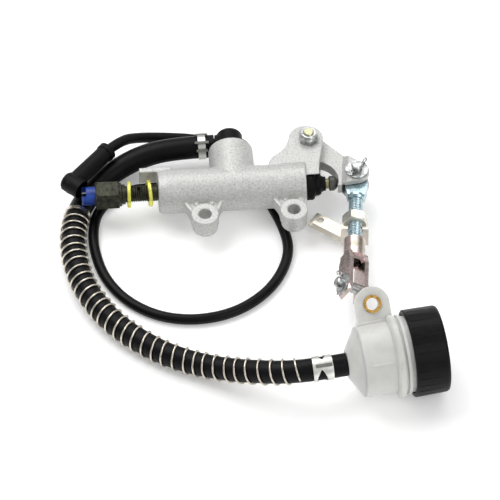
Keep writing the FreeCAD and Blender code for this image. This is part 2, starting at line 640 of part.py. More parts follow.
def fork():
    barrel = turned([(FORK_START, 0), (FORK_START, FORK_BARREL_R - 2.0),
                     (FORK_START + 2.2, FORK_BARREL_R), (FORK_NECK_END, FORK_BARREL_R),
                     (FORK_NECK_END, 0)], V(0, 0, 0), -Y_AXIS)
    shoulder = 4.0
    cheeks = []
    for side in (-1, 1):
        x0, x1 = sorted((side * FORK_GAP_HALF, side * FORK_OUT_HALF))
        profile = [V(x0, -FORK_NECK_END + 1.5, -FORK_HALF_WIDTH + 1.6),
                   V(x0, -FORK_NECK_END - shoulder, -FORK_HALF_WIDTH),
                   V(x0, -FORK_END, -FORK_HALF_WIDTH),
                   V(x0, -FORK_END, FORK_HALF_WIDTH),
                   V(x0, -FORK_NECK_END - shoulder, FORK_HALF_WIDTH),
                   V(x0, -FORK_NECK_END + 1.5, FORK_HALF_WIDTH - 1.6)]
        cheeks.append(Part.Face(Part.makePolygon(profile + profile[:1])).extrude(V(x1 - x0, 0, 0)))
    bridge = block(-FORK_OUT_HALF, FORK_OUT_HALF, -FORK_NECK_END - 2.6, -FORK_NECK_END + 1.5,
                   -FORK_HALF_WIDTH + 1.2, FORK_HALF_WIDTH - 1.2)
    body = union([barrel, bridge] + cheeks)
    # round the cheeks' corners and take the outer edge off the bridge
    keep = turned([(FORK_START, 0), (FORK_START, 9.0), (FORK_END - 4.0, 8.9), (FORK_END, 7.4),
                   (FORK_END, 0)], V(0, 0, 0), -Y_AXIS)
    body = body.common(keep)
    body = body.cut(cylinder(ROD_R, 20.0, V(0, -FORK_START + 1, 0), -Y_AXIS))
    pin_hole = x_cylinder(CLEVIS_PIN_R, -12, 12, -FORK_PIN_AT, 0)
    return placed(body.cut(pin_hole), FORK_ROLL)


CLEVIS_PIN_TAIL = -FORK_OUT_HALF - 5.0
CLEVIS_SPLIT_X = -FORK_OUT_HALF - 3.0


def clevis_pin():
    pin = turned([(CLEVIS_PIN_TAIL, 0), (CLEVIS_PIN_TAIL, CLEVIS_PIN_R - 0.6),
                  (CLEVIS_PIN_TAIL + 0.6, CLEVIS_PIN_R), (FORK_OUT_HALF, CLEVIS_PIN_R),
                  (FORK_OUT_HALF, 4.6), (FORK_OUT_HALF + 1.6, 4.6), (FORK_OUT_HALF + 2.0, 4.2),
                  (FORK_OUT_HALF + 2.0, 0)], V(0, -FORK_PIN_AT, 0), X_AXIS)
    hole = cylinder(PIN_HOLE_R, 12, V(CLEVIS_SPLIT_X, -FORK_PIN_AT + 6, 0), -Y_AXIS)
    return placed(pin.cut(hole), FORK_ROLL)


def clevis_pin_washer():
    washer = turned([(-FORK_OUT_HALF - 1.2, CLEVIS_PIN_R), (-FORK_OUT_HALF - 1.2, 6.0),
                     (-FORK_OUT_HALF, 6.0), (-FORK_OUT_HALF, CLEVIS_PIN_R)],
                    V(0, -FORK_PIN_AT, 0), X_AXIS)
    return placed(washer, FORK_ROLL)


def clevis_split_pin():
    pin = split_pin(V(CLEVIS_SPLIT_X, -FORK_PIN_AT, 0), -Y_AXIS, Z_AXIS)
    return placed(pin, FORK_ROLL)


def rod_stay():
    """Bent strip on the rod between lock nut and fork, with a hook tab at its free end."""
    plate = 1.8
    ring = turned([(STAY_START, 0), (STAY_START, 7.6), (STAY_START + plate, 7.6),
                   (STAY_START + plate, 0)], V(0, 0, 0), -Y_AXIS)
    foot = block(-8.0, 7.6, -STAY_START - plate, -STAY_START, -12.5, 0)
    ring = union([ring, foot]).cut(block(-20, 20, -50, -20, 1.6, 20))
    hole = turned([(STAY_START - 1, 0), (STAY_START - 1, ROD_R + 0.3),
                   (STAY_START + plate + 1, ROD_R + 0.3), (STAY_START + plate + 1, 0)],
                  V(0, 0, 0), -Y_AXIS)
    ring = ring.cut(hole)
    # strip: web lying flat below the rod, raised flange along its upper edge
    angle = 32.0
    length = 24.5
    width = 9.6
    strip = union([block(0, length, -width / 2, width / 2, -plate / 2, plate / 2),
                   block(0, length - 3.0, width / 2 - plate, width / 2, -plate / 2, 3.6)])
    strip = strip.cut(z_cylinder(1.9, -3, 3, length - 4.6, -1.2))
    tab = block(length - plate, length, -width / 2, -0.2, -2.8, plate / 2)
    strip = union([strip, tab])
    strip.rotate(V(0, 0, 0), Z_AXIS, 180.0 - angle)
    strip.translate(V(-3.4, -STAY_START + 2.9, -11.7))
    return placed(union([ring, strip]))


# ---- reservoir: drawn about +X with its cap's open rim at the origin --------------------
RES_PLACE = FreeCAD.Placement(RES_CENTRE, FreeCAD.Rotation(Z_AXIS, RES_AZIMUTH))
NECK_R = 21.3
WALL = 1.8
NIPPLE_R = 4.0
NIPPLE_LENGTH = 18.0
BASE_JOIN = -30.0          # the conical base is a node of its own


def res_placed(shape):
    """Move a shape from the reservoir's own frame to the row frame."""
    moved = shape.copy()
    moved.Placement = RES_PLACE.multiply(moved.Placement)
    return moved


def reservoir_tab():
    """Flat mounting tab, radial from the body, with a round end."""
    half_width = 9.7
    root = 17.0
    plate = union([block(BUSH_X - half_width, BUSH_X + half_width, -TAB_HALF, TAB_HALF, root, BUSH_RADIUS),
                   cylinder(half_width, 2 * TAB_HALF, V(BUSH_X, -TAB_HALF, BUSH_RADIUS), Y_AXIS),
                   block(BUSH_X - half_width - 0.6, BUSH_X + half_width + 0.6, -3.4, 3.4, root, 21.4)])
    return plate


def tab_tilted(shape):
    moved = shape.copy()
    moved.rotate(V(0, 0, 0), X_AXIS, -(90.0 - TAB_TILT))
    return moved


def reservoir_outline():
    """The closed outline of the nipple, cone, barrel and neck."""
    return turned([(RES_FACE - NIPPLE_LENGTH, 0), (RES_FACE - NIPPLE_LENGTH, NIPPLE_R - 0.8),
                   (RES_FACE - 12.0, NIPPLE_R), (RES_FACE - 12.0, NIPPLE_R - 0.6),
                   (RES_FACE - 6.0, NIPPLE_R), (RES_FACE - 6.0, NIPPLE_R - 0.6),
                   (RES_FACE, NIPPLE_R - 0.3), (RES_FACE, 8.2), (-30.0, RES_BODY_R - 0.6),
                   (-29.2, RES_BODY_R), (-12.4, RES_BODY_R + 0.4), (-11.6, 22.0), (-10.6, 23.2),
                   (-8.2, 23.2), (-7.4, 22.2), (-7.1, NECK_R - 0.3), (-6.3, NECK_R - 0.3),
                   (-6.1, 22.4), (-4.5, 22.4), (-4.3, NECK_R), (9.0, NECK_R), (9.0, 0)])


def reservoir_shell(base):
    """The reservoir's moulding: its cone and nipple, or its barrel and neck."""
    inner = turned([(RES_FACE - NIPPLE_LENGTH - 1, 0), (RES_FACE - NIPPLE_LENGTH - 1, 2.4),
                    (RES_FACE + WALL, 2.4), (RES_FACE + WALL, 6.0), (-28.6, RES_BODY_R - WALL),
                    (-10.0, RES_BODY_R - WALL), (-8.0, NECK_R - WALL), (10.0, NECK_R - WALL), (10.0, 0)])
    # level line moulded on the side, and the stub left by the moulding gate
    level = block(-26.5, -12.8, -RES_BODY_R - 0.7, -RES_BODY_R + 1.4, -0.4, 0.4)
    level.rotate(V(0, 0, 0), X_AXIS, -42.0)
    gate = cylinder(0.8, 1.6, V(-20.4, 0, -RES_BODY_R - 1.2), Z_AXIS)
    gate.rotate(V(0, 0, 0), X_AXIS, -28.0)
    body = union([reservoir_outline(), level, gate]).cut(inner)
    if base:
        return res_placed(body.common(x_cylinder(40.0, -80.0, BASE_JOIN)))
    return res_placed(body.common(x_cylinder(40.0, BASE_JOIN, 20.0)))


def reservoir_hanger():
    """The tab on the barrel's side, bored for the bush."""
    tab = tab_tilted(reservoir_tab()).cut(reservoir_outline())
    bush = cylinder(BUSH_R, 12, V(BUSH_X, -6, BUSH_RADIUS), Y_AXIS)
    return res_placed(tab.cut(tab_tilted(bush)))


def reservoir_bush():
    half = 2.6
    bush = turned([(-half, BUSH_HOLE_R), (-half, BUSH_R), (half, BUSH_R), (half, BUSH_HOLE_R)],
                  V(BUSH_X, 0, BUSH_RADIUS), Y_AXIS)
    return res_placed(tab_tilted(bush))


def reservoir_cap():
    skirt = 2.4
    body = turned([(CAP_RIM, RES_CAP_R - skirt), (CAP_RIM, RES_CAP_R - 0.5), (CAP_RIM + 0.5, RES_CAP_R),
                   (CAP_LENGTH - 1.6, RES_CAP_R - 0.3), (CAP_LENGTH - 0.4, RES_CAP_R - 0.9),
                   (CAP_LENGTH, RES_CAP_R - 2.0), (CAP_LENGTH, RES_CAP_R - 4.6),
                   (CAP_LENGTH - 0.8, RES_CAP_R - 5.2), (CAP_LENGTH - 0.8, 0), (12.6, 0),
                   (12.6, RES_CAP_R - skirt)])
    grips = 30
    for k in range(grips):
        groove = x_cylinder(0.55, CAP_RIM + 1.6, CAP_LENGTH + 2, RES_CAP_R + 0.22, 0)
        groove.rotate(V(0, 0, 0), X_AXIS, 360.0 * k / grips)
        body = body.cut(groove)
    return res_placed(body)


def diaphragm_plate():
    plate = turned([(10.7, 0), (10.7, 20.4), (12.3, 20.4), (12.3, 0)])
    return res_placed(plate)


def diaphragm():
    """Rubber bellows under the cap: a rim on the neck and a cup hanging into the fluid."""
    bellows = turned([(9.3, 17.0), (9.3, 21.2), (10.6, 21.2), (10.6, 0), (9.4, 0), (9.4, 7.0),
                      (1.0, 7.6), (1.0, 11.8), (8.0, 12.4)])
    return res_placed(bellows)


# ---- cords --------------------------------------------------------------------------
def route_points(route):
    return [V(x, y, FLOOR_Z + height) for x, y, height in route]


def route_wire(points, first=0, last=None):
    """Straight runs joined by tangent arcs; returns the wire and its smallest radius."""
    last = len(points) - 1 if last is None else last
    edges = []
    radii = []
    cursor = points[0] if first == 0 else (points[first] + points[first + 1]) * 0.5
    start = 1 if first == 0 else first + 1
    for k in range(start, last):
        before, corner, after = points[k - 1], points[k], points[k + 1]
        into, out = unit(corner - before), unit(after - corner)
        half_turn = into.getAngle(out) / 2
        trim = 0.45 * min((corner - before).Length, (after - corner).Length)
        radii.append(trim / math.tan(half_turn))
        arc_start, arc_end = corner - into * trim, corner + out * trim
        bisector = unit(out - into)
        middle = corner + bisector * (radii[-1] / math.cos(half_turn) - radii[-1])
        edges.append(Part.LineSegment(cursor, arc_start).toShape())
        edges.append(Part.Arc(arc_start, middle, arc_end).toShape())
        cursor = arc_end
    end = points[last] if last == len(points) - 1 else (points[last - 1] + points[last]) * 0.5
    if (end - cursor).Length > 0.01:
        edges.append(Part.LineSegment(cursor, end).toShape())
    return Part.Wire(edges), radii


def tube(points, radius, first=0, last=None):
    wire, radii = route_wire(points, first, last)
    start = wire.OrderedEdges[0]
    at = start.valueAt(start.FirstParameter)
    along = start.tangentAt(start.FirstParameter)
    section = Part.Wire(Part.makeCircle(radius, at, along))
    solid = wire.makePipeShell([section], True, True)
    return solid, wire, radii


def report_cord(name, solid, wire, radii, radius, least):
    swept = math.pi * radius * radius * wire.Length
    print("%s: length %.1f, smallest radius %.1f (%.1f diameters, wanted %.1f), volume ratio %.4f"
          % (name, wire.Length, min(radii), min(radii) / (2 * radius), least, solid.Volume / swept))
    print("   radii", " ".join("%.0f" % r for r in radii))


def supply_hose():
    points = route_points(HOSE_ROUTE)
    solid, wire, radii = tube(points, HOSE_R)
    report_cord("supply_hose", solid, wire, radii, HOSE_R, MIN_HOSE_BEND)
    first_dir = unit(points[1] - points[0])
    last_dir = unit(points[-2] - points[-1])
    solid = solid.cut(cylinder(NIPPLE_R + 0.25, 18.5, points[0] - first_dir, first_dir))
    return solid.cut(cylinder(NIPPLE_R + 0.25, NIPPLE_LENGTH + 1.5, points[-1] - last_dir, last_dir))


def hose_guard():
    """Envelope of the wire coil that protects the hose."""
    points = route_points(HOSE_ROUTE)
    outer, _, _ = tube(points, GUARD_R, GUARD_FIRST, GUARD_LAST)
    inner, _, _ = tube(points, HOSE_R + RUN_FIT, GUARD_FIRST, GUARD_LAST)
    return outer.cut(inner)


def band_on_route(points, run, distance, width, outer_r, inner_r):
    """Ring round a straight run of the route, distance from the run's first point."""
    along = unit(points[run + 1] - points[run])
    base = points[run] + along * distance
    return turned([(0, inner_r), (0, outer_r), (width, outer_r), (width, inner_r)], base, along), base, along


def guard_clip():
    """Flat end band of the guard."""
    points = route_points(HOSE_ROUTE)
    mid = (points[GUARD_FIRST] + points[GUARD_FIRST + 1]) * 0.5
    along = unit(points[GUARD_FIRST + 1] - points[GUARD_FIRST])
    return turned([(0, HOSE_R + RUN_FIT), (0, 7.5), (2.6, 7.5), (2.6, HOSE_R + RUN_FIT)],
                  mid - along * 2.7, along)


def hose_clamp(run, distance, width, turn):
    """Spring band clamp: a band with two raised ears."""
    points = route_points(HOSE_ROUTE)
    ring, base, along = band_on_route(points, run, distance, width, HOSE_R + 0.9, HOSE_R + RUN_FIT)
    ears = []
    for offset, tall in ((-1.9, 3.4), (1.9, 3.4)):
        ear = block(-0.45 + offset, 0.45 + offset, HOSE_R + 0.3, HOSE_R + tall, 0, width)
        ear.rotate(V(0, 0, 0), Z_AXIS, turn)
        ear.Placement = FreeCAD.Placement(base, FreeCAD.Rotation(Z_AXIS, along)).multiply(ear.Placement)
        ears.append(ear)
    return union([ring] + ears)


def switch_lead():
    points = route_points(LEAD_ROUTE)
    solid, wire, radii = tube(points, LEAD_R)
    report_cord("switch_lead", solid, wire, radii, LEAD_R, MIN_LEAD_BEND)
    return solid


def lead_boot():
    """L-shaped rubber boot at the lead's end, in the row frame."""
    corner = V(-98.0, 29.6, FLOOR_Z + BORE_HEIGHT + 1.4)
    lead_end = route_points(LEAD_ROUTE)[0]
    long_dir = unit(lead_end - corner)
    short_dir = unit(V(0.735, -0.678, 0))
    long_leg = turned([(-4.0, 0), (-4.0, 4.4), (-3.0, 4.9), ((lead_end - corner).Length - 3.2, 4.9),
                       ((lead_end - corner).Length - 3.2, 5.4), ((lead_end - corner).Length, 5.4),
                       ((lead_end - corner).Length, 0)], corner, long_dir)
    short_leg = turned([(-4.6, 0), (-4.6, 4.6), (-3.4, 5.6), (7.0, 5.6), (7.0, 0)], corner, short_dir)
    mouth = cylinder(4.7, 6.0, corner + short_dir * 2.0, short_dir)
    return union([long_leg, short_leg]).cut(mouth)


def lead_connector():
    """Two-way plug housing on the lead's other end."""
    points = route_points(LEAD_ROUTE)
    along = unit(points[-1] - points[-2])
    across = V(-along.y, along.x, 0)
    end = points[-1]
    length, half_width, height = 19.0, 4.3, 7.0

    def corner(a, b, z):
        return V(end.x + along.x * a + across.x * b, end.y + along.y * a + across.y * b, z)

    def bar(a0, a1, half, z0, z1):
        ring = [corner(a0, -half, z0), corner(a1, -half, z0), corner(a1, half, z0), corner(a0, half, z0)]
        return Part.Face(Part.makePolygon(ring + ring[:1])).extrude(V(0, 0, z1 - z0))

    housing = bar(0, length, half_width, FLOOR_Z, FLOOR_Z + height)
    latch = bar(5.0, 13.0, 1.4, FLOOR_Z + height - 0.1, FLOOR_Z + height + 0.9)
    lip = bar(length, length + 1.2, half_width - 1.0, FLOOR_Z + 1.0, FLOOR_Z + height - 1.0)
    return union([housing, latch, lip])


# ---- write every node -----------------------------------------------------------------
def main():
    os.makedirs("parts", exist_ok=True)
    bore_frame = {
        "cylinder_body": cylinder_body(),
        "inlet_elbow": inlet_elbow(),
        "elbow_o_ring": elbow_o_ring(),
        "piston": piston(),
        "primary_cup": cup(PISTON_LEFT - 4.0, PISTON_LEFT, 3.0),
        "secondary_cup": cup(16.0, 19.5, 4.4),
        "return_spring": return_spring(),
        "push_rod": push_rod(),
        "push_rod_head": push_rod_head(),
        "stop_washer": stop_washer(),
        "bore_circlip": circlip(),
        "dust_boot": dust_boot(),
        "switch_bolt": switch_bolt(),
        "switch_insulator": switch_insulator(),
        "switch_terminals": switch_terminals(),
        "crush_washers": crush_washers(),
        "pivot_bolt": pivot_bolt(),
        "pivot_nut": pivot_nut(),
        "lever": lever(),
        "rod_pin": rod_pin(),
        "rod_pin_washer": rod_pin_washer(),
        "rod_pin_split_pin": rod_pin_split_pin(),
        "pull_rod": pull_rod(),
        "lock_nut": lock_nut(),
        "rod_stay": rod_stay(),
        "fork": fork(),
        "clevis_pin": clevis_pin(),
        "clevis_pin_washer": clevis_pin_washer(),
        "clevis_split_pin": clevis_split_pin(),
    }
    nodes = {name: row_frame(shape) for name, shape in bore_frame.items()}
    nodes.update({
        "reservoir_body": reservoir_shell(False),
        "reservoir_base": reservoir_shell(True),
        "reservoir_tab": reservoir_hanger(),
        "reservoir_bush": reservoir_bush(),
        "reservoir_cap": reservoir_cap(),
        "diaphragm_plate": diaphragm_plate(),
        "diaphragm": diaphragm(),
        "supply_hose": supply_hose(),
        "hose_guard": hose_guard(),
        "guard_clip": guard_clip(),
        "elbow_hose_clamp": hose_clamp(0, 4.0, 6.0, 150.0),
        "reservoir_hose_clamp": hose_clamp(len(HOSE_ROUTE) - 2, -1.5, 11.0, 20.0),
        "switch_lead": switch_lead(),
        "lead_boot": lead_boot(),
        "lead_connector": lead_connector(),
    })
    for name, shape in nodes.items():
        solids = shape.Solids
        box = shape.BoundBox
        print("%-22s solids %d valid %s volume %9.1f  x %7.1f %7.1f  y %7.1f %7.1f  z %6.1f %6.1f"
              % (name, len(solids), shape.isValid(), shape.Volume, box.XMin, box.XMax,
                 box.YMin, box.YMax, box.ZMin, box.ZMax))
        shape.exportStep("parts/%s.step" % name)


main()
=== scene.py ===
"""Looks for the rear brake master cylinder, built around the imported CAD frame. Metres."""

import math

import bmesh
import bpy
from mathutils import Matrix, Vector


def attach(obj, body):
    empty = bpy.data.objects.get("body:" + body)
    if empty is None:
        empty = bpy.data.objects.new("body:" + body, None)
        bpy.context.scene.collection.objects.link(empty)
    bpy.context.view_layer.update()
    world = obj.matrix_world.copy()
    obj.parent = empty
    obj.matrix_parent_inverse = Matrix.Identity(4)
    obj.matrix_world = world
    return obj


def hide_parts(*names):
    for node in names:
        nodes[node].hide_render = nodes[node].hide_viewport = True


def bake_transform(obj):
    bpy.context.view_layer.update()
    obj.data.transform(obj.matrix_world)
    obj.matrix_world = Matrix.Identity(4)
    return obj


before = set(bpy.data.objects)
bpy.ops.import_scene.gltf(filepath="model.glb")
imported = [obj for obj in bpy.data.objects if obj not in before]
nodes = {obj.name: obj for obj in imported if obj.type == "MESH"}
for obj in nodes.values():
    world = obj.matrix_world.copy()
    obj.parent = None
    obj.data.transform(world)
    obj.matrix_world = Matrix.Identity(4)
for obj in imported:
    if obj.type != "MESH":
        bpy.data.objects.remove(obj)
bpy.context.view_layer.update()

FLOOR_Z = -0.011
BORE_Y, BORE_Z = 0.021, 0.0075

# ---- camera ---------------------------------------------------------------------------
CAMERA_AZIMUTH = -4.0
CAMERA_ELEVATION = 50.0
CAMERA_DISTANCE = 5.0
CAMERA_TARGET = Vector((-0.0015, -0.0246, 0.0075))
CAMERA_LENS = 644.4
CAMERA_SENSOR = 36.0
CAMERA_CLIP_START = 0.05

azimuth, elevation = math.radians(CAMERA_AZIMUTH), math.radians(CAMERA_ELEVATION)
toward = Vector((math.sin(azimuth) * math.cos(elevation), -math.cos(azimuth) * math.cos(elevation),
                 math.sin(elevation)))
camera = bpy.data.objects.new("camera", bpy.data.cameras.new("camera"))
camera.data.lens = CAMERA_LENS
camera.data.sensor_width = CAMERA_SENSOR
camera.data.clip_start = CAMERA_CLIP_START
camera.location = CAMERA_TARGET + toward * CAMERA_DISTANCE
camera.rotation_euler = (CAMERA_TARGET - camera.location).to_track_quat("-Z", "Y").to_euler()
bpy.context.scene.collection.objects.link(camera)
bpy.context.scene.camera = camera
bpy.context.scene.view_settings.view_transform = "Standard"

# ---- cord routes: control points as x, y and height above the floor ---------------------
HOSE_ROUTE = [
    (-0.0163, 0.0564, 0.0148),
    (-0.0370, 0.0564, 0.0148),
    (-0.0580, 0.0543, 0.0119),
    (-0.0792, 0.0439, 0.0072),
    (-0.0934, 0.0249, 0.00655),
    (-0.0993, 0.0046, 0.00895),
    (-0.0997, -0.0148, 0.0081),
    (-0.0950, -0.0373, 0.0080),
    (-0.0838, -0.0585, 0.0080),
    (-0.0712, -0.0731, 0.0080),
    (-0.0542, -0.0870, 0.0080),
    (-0.0365, -0.0960, 0.0082),
    (-0.0190, -0.1050, 0.0125),
    (-0.0035, -0.1119, 0.0179),
    (0.0115, -0.1172, 0.0224),
    (0.0285, -0.11804, 0.0245),
    (0.04541, -0.115513, 0.0245),
]
LEAD_ROUTE = [
    (-0.0764, 0.0536, 0.0190),
    (-0.0682, 0.0628, 0.0170),
    (-0.0568, 0.0696, 0.0102),
    (-0.0425, 0.0733, 0.0046),
    (-0.0260, 0.0725, 0.0030),
    (-0.0110, 0.0665, 0.0030),
    (0.0005, 0.0555, 0.0030),
    (0.0070, 0.0405, 0.0030),
    (0.0128, 0.0225, 0.0030),
    (0.0190, 0.0050, 0.0030),
    (0.0218, -0.0125, 0.0030),
    (0.0160, -0.0305, 0.0030),
    (0.0045, -0.0456, 0.0030),
    (-0.0128, -0.0569, 0.0030),
    (-0.0340, -0.0608, 0.0030),
    (-0.0550, -0.0566, 0.0030),
    (-0.0725, -0.0438, 0.0030),
    (-0.0835, -0.0260, 0.0030),
    (-0.0878, -0.0060, 0.0030),
    (-0.0876, 0.0095, 0.0030),
    (-0.0842, 0.0220, 0.0030),
    (-0.0760, 0.0318, 0.0030),
    (-0.0640, 0.0370, 0.0030),
    (-0.0545, 0.0380, 0.0030),
    (-0.0465, 0.0380, 0.0030),
]
HOSE_DIAMETER = 0.013
LEAD_DIAMETER = 0.006


# ---- materials ------------------------------------------------------------------------
class Look:
    """A Principled material with its nodes, built up a feature at a time."""

    def __init__(self, name, color, roughness, metallic=0.0, **sockets):
        self.material = bpy.data.materials.new(name)
        self.material.use_nodes = True
        self.tree = self.material.node_tree
        self.shader = self.tree.nodes["Principled BSDF"]
        self.coords = self.tree.nodes.new("ShaderNodeTexCoord").outputs["Object"]
        self.put("Base Color", (*color, 1.0))
        self.put("Roughness", roughness)
        self.put("Metallic", metallic)
        for socket, value in sockets.items():
            self.put(socket.replace("_", " "), value)
        self.normal = None

    def put(self, socket, value):
        self.shader.inputs[socket].default_value = value

    def noise(self, size, detail=4.0, roughness=0.55):
        """Noise whose patches are about size metres across."""
        node = self.tree.nodes.new("ShaderNodeTexNoise")
        node.inputs["Scale"].default_value = 1.0 / size
        node.inputs["Detail"].default_value = detail
        node.inputs["Roughness"].default_value = roughness
        self.tree.links.new(self.coords, node.inputs["Vector"])
        return node.outputs["Fac"]

    def ramp(self, fac, stops):
        """The colour at fac along the stops, each a place and a colour."""
        node = self.tree.nodes.new("ShaderNodeValToRGB")
        ramp = node.color_ramp
        while len(ramp.elements) < len(stops):
            ramp.elements.new(0.5)
        for element, (at, color) in zip(ramp.elements, stops):
            element.position = at
            element.color = (*color, 1.0)
        self.tree.links.new(fac, node.inputs["Fac"])
        return node.outputs["Color"]

    def tint(self, fac, stops):
        self.tree.links.new(self.ramp(fac, stops), self.shader.inputs["Base Color"])
        return self

    def vary_roughness(self, fac, low, high):
        node = self.tree.nodes.new("ShaderNodeMapRange")
        node.inputs["To Min"].default_value = low
        node.inputs["To Max"].default_value = high
        self.tree.links.new(fac, node.inputs["Value"])
        self.tree.links.new(node.outputs["Result"], self.shader.inputs["Roughness"])
        return self

    def bump(self, fac, height, strength=1.0):
        """Relief of height metres, on top of any bump added before."""
        node = self.tree.nodes.new("ShaderNodeBump")
        node.inputs["Distance"].default_value = height
        node.inputs["Strength"].default_value = strength
        self.tree.links.new(fac, node.inputs["Height"])
        if self.normal is not None:
            self.tree.links.new(self.normal, node.inputs["Normal"])
        self.normal = node.outputs["Normal"]
        self.tree.links.new(self.normal, self.shader.inputs["Normal"])
        return self


def shade(color, factor):
    return tuple(min(1.0, c * factor) for c in color)


def cast_metal(name):
    """Blasted aluminium casting: matt, pale, with a fine speckled grain."""
    grey = (0.53, 0.53, 0.515)
    look = Look(name, grey, 0.5, metallic=0.35)
    look.tint(look.noise(0.0011, detail=6.0, roughness=0.7),
              [(0.28, shade(grey, 0.34)), (0.41, shade(grey, 0.88)), (0.56, shade(grey, 1.06)),
               (0.75, shade(grey, 1.26))])
    look.vary_roughness(look.noise(0.004), 0.42, 0.62)
    look.bump(look.noise(0.0006, detail=3.0), 0.00012, 0.8)
    return look.bump(look.noise(0.006, detail=2.0), 0.00015, 0.5)


def plated(name, color, roughness, size=0.004, spread=0.16, metallic=1.0, other=None):
    """Plated metal with blotchy tones from other to color, and a fine grain."""
    look = Look(name, color, roughness, metallic=metallic)
    other = other or shade(color, 1.0 - spread)
    look.tint(look.noise(size, detail=5.0),
              [(0.32, other), (0.50, color), (0.72, shade(color, 1.0 + spread))])
    look.vary_roughness(look.noise(size * 0.4), roughness * 0.75, roughness * 1.3)
    return look.bump(look.noise(0.0005, detail=2.0), 0.00002, 0.6)


def rubber(name, color, roughness, grain=0.0005):
    """Dull rubber or plastic with uneven tone and a fine grain."""
    look = Look(name, color, roughness, Specular_IOR_Level=0.14)
    look.tint(look.noise(0.006, detail=6.0),
              [(0.3, shade(color, 0.7)), (0.55, color), (0.75, shade(color, 1.6))])
    look.vary_roughness(look.noise(0.003), roughness * 0.8, roughness * 1.2)
    return look.bump(look.noise(grain, detail=3.0), 0.00003, 0.7)


cast = cast_metal("cast_aluminium")
lever_cast = cast_metal("cast_aluminium_lever")
blue_zinc = plated("blue_zinc", (0.42, 0.53, 0.57), 0.26, size=0.003, other=(0.24, 0.37, 0.42))
nut_zinc = plated("nut_zinc", (0.70, 0.69, 0.63), 0.34, other=(0.56, 0.55, 0.48), metallic=0.8)
pink_zinc = plated("fork_zinc", (0.52, 0.42, 0.41), 0.26, size=0.005, other=(0.34, 0.32, 0.24))
stay_zinc = plated("stay_zinc", (0.58, 0.54, 0.46), 0.34, size=0.006, other=(0.48, 0.47, 0.45))
yellow_zinc = plated("yellow_zinc", (0.44, 0.44, 0.29), 0.36, other=(0.32, 0.34, 0.27))
silver = plated("bright_zinc", (0.44, 0.45, 0.45), 0.34, size=0.0020, spread=0.5)
wire_metal = plated("guard_wire", (0.66, 0.61, 0.52), 0.28, size=0.003, other=(0.45, 0.41, 0.35))
band_metal = plated("clamp_band", (0.74, 0.74, 0.71), 0.34, size=0.004, metallic=0.8)
# the ears and bars are the band's own steel, coloured darker as painted shade
ear_painted_shade_metal = plated("clamp_ears_painted_shade", (0.27, 0.27, 0.25), 0.32, size=0.003)
olive = plated("olive_plate", (0.036, 0.037, 0.024), 0.44, size=0.0022, spread=0.7, metallic=0.6,
               other=(0.008, 0.008, 0.007))
rod_olive = plated("rod_olive", (0.30, 0.29, 0.16), 0.38, spread=0.3, metallic=0.8)
dark_metal = plated("dark_steel", (0.10, 0.10, 0.095), 0.40, spread=0.3, metallic=0.8)
washer_yellow = Look("washer_yellow", (0.80, 0.76, 0.10), 0.34, metallic=0.55)
washer_yellow.tint(washer_yellow.noise(0.002), [(0.3, (0.60, 0.58, 0.09)), (0.55, (0.84, 0.82, 0.14)),
                                               (0.8, (0.93, 0.92, 0.35))])
washer_yellow.bump(washer_yellow.noise(0.0006), 0.00003)
brass = plated("brass_bush", (0.44, 0.27, 0.07), 0.26, size=0.002, other=(0.24, 0.13, 0.03))
hose_black = rubber("hose_rubber", (0.0022, 0.0022, 0.0032), 0.44)
boot_black = rubber("boot_rubber", (0.0026, 0.0026, 0.003), 0.48)
lead_black = rubber("lead_sheath", (0.003, 0.003, 0.003), 0.38, grain=0.0008)
cap_black = rubber("cap_plastic", (0.003, 0.003, 0.0033), 0.42, grain=0.0004)
elbow_black = rubber("elbow_plastic", (0.0022, 0.0022, 0.0025), 0.46, grain=0.0004)
blue = Look("insulator_blue", (0.006, 0.045, 0.30), 0.36)
blue.tint(blue.noise(0.003), [(0.3, (0.004, 0.022, 0.16)), (0.6, (0.007, 0.055, 0.34))])
blue.bump(blue.noise(0.0005), 0.00003)
milky = Look("milky_plastic", (0.80, 0.80, 0.775), 0.36, Subsurface_Weight=0.55, Subsurface_Scale=0.004,
             Transmission_Weight=0.12, IOR=1.5)
milky.put("Subsurface Radius", (1.0, 1.0, 0.9))
milky.tint(milky.noise(0.010, detail=5.0), [(0.3, (0.62, 0.62, 0.59)), (0.55, (0.69, 0.69, 0.665)),
                                           (0.8, (0.75, 0.75, 0.73))])
milky.bump(milky.noise(0.0007), 0.00004, 0.6)

NODE_LOOKS = {
    "inlet_elbow": elbow_black, "elbow_o_ring": boot_black, "piston": silver,
    "primary_cup": boot_black, "secondary_cup": boot_black, "return_spring": wire_metal,
    "push_rod": rod_olive, "push_rod_head": dark_metal, "stop_washer": silver,
    "bore_circlip": wire_metal, "dust_boot": boot_black, "switch_bolt": olive,
    "switch_insulator": blue, "switch_terminals": dark_metal, "crush_washers": washer_yellow,
    "pivot_bolt": yellow_zinc, "pivot_nut": silver, "lever": lever_cast, "rod_pin": silver,
    "rod_pin_washer": silver, "rod_pin_split_pin": silver, "pull_rod": blue_zinc,
    "lock_nut": nut_zinc, "rod_stay": stay_zinc, "fork": pink_zinc, "clevis_pin": silver,
    "clevis_pin_washer": silver, "clevis_split_pin": silver, "reservoir_body": milky,
    "reservoir_base": milky, "reservoir_tab": milky,
    "reservoir_bush": brass, "reservoir_cap": cap_black, "diaphragm_plate": milky,
    "diaphragm": boot_black, "supply_hose": hose_black, "hose_guard": wire_metal,
    "guard_clip": wire_metal, "elbow_hose_clamp": band_metal, "reservoir_hose_clamp": band_metal,
    "switch_lead": lead_black, "lead_boot": boot_black, "lead_connector": cap_black,
    "cylinder_body": cast,
}
for node_name, look in NODE_LOOKS.items():
    mesh = nodes[node_name].data
    mesh.materials.clear()
    mesh.materials.append(look.material)


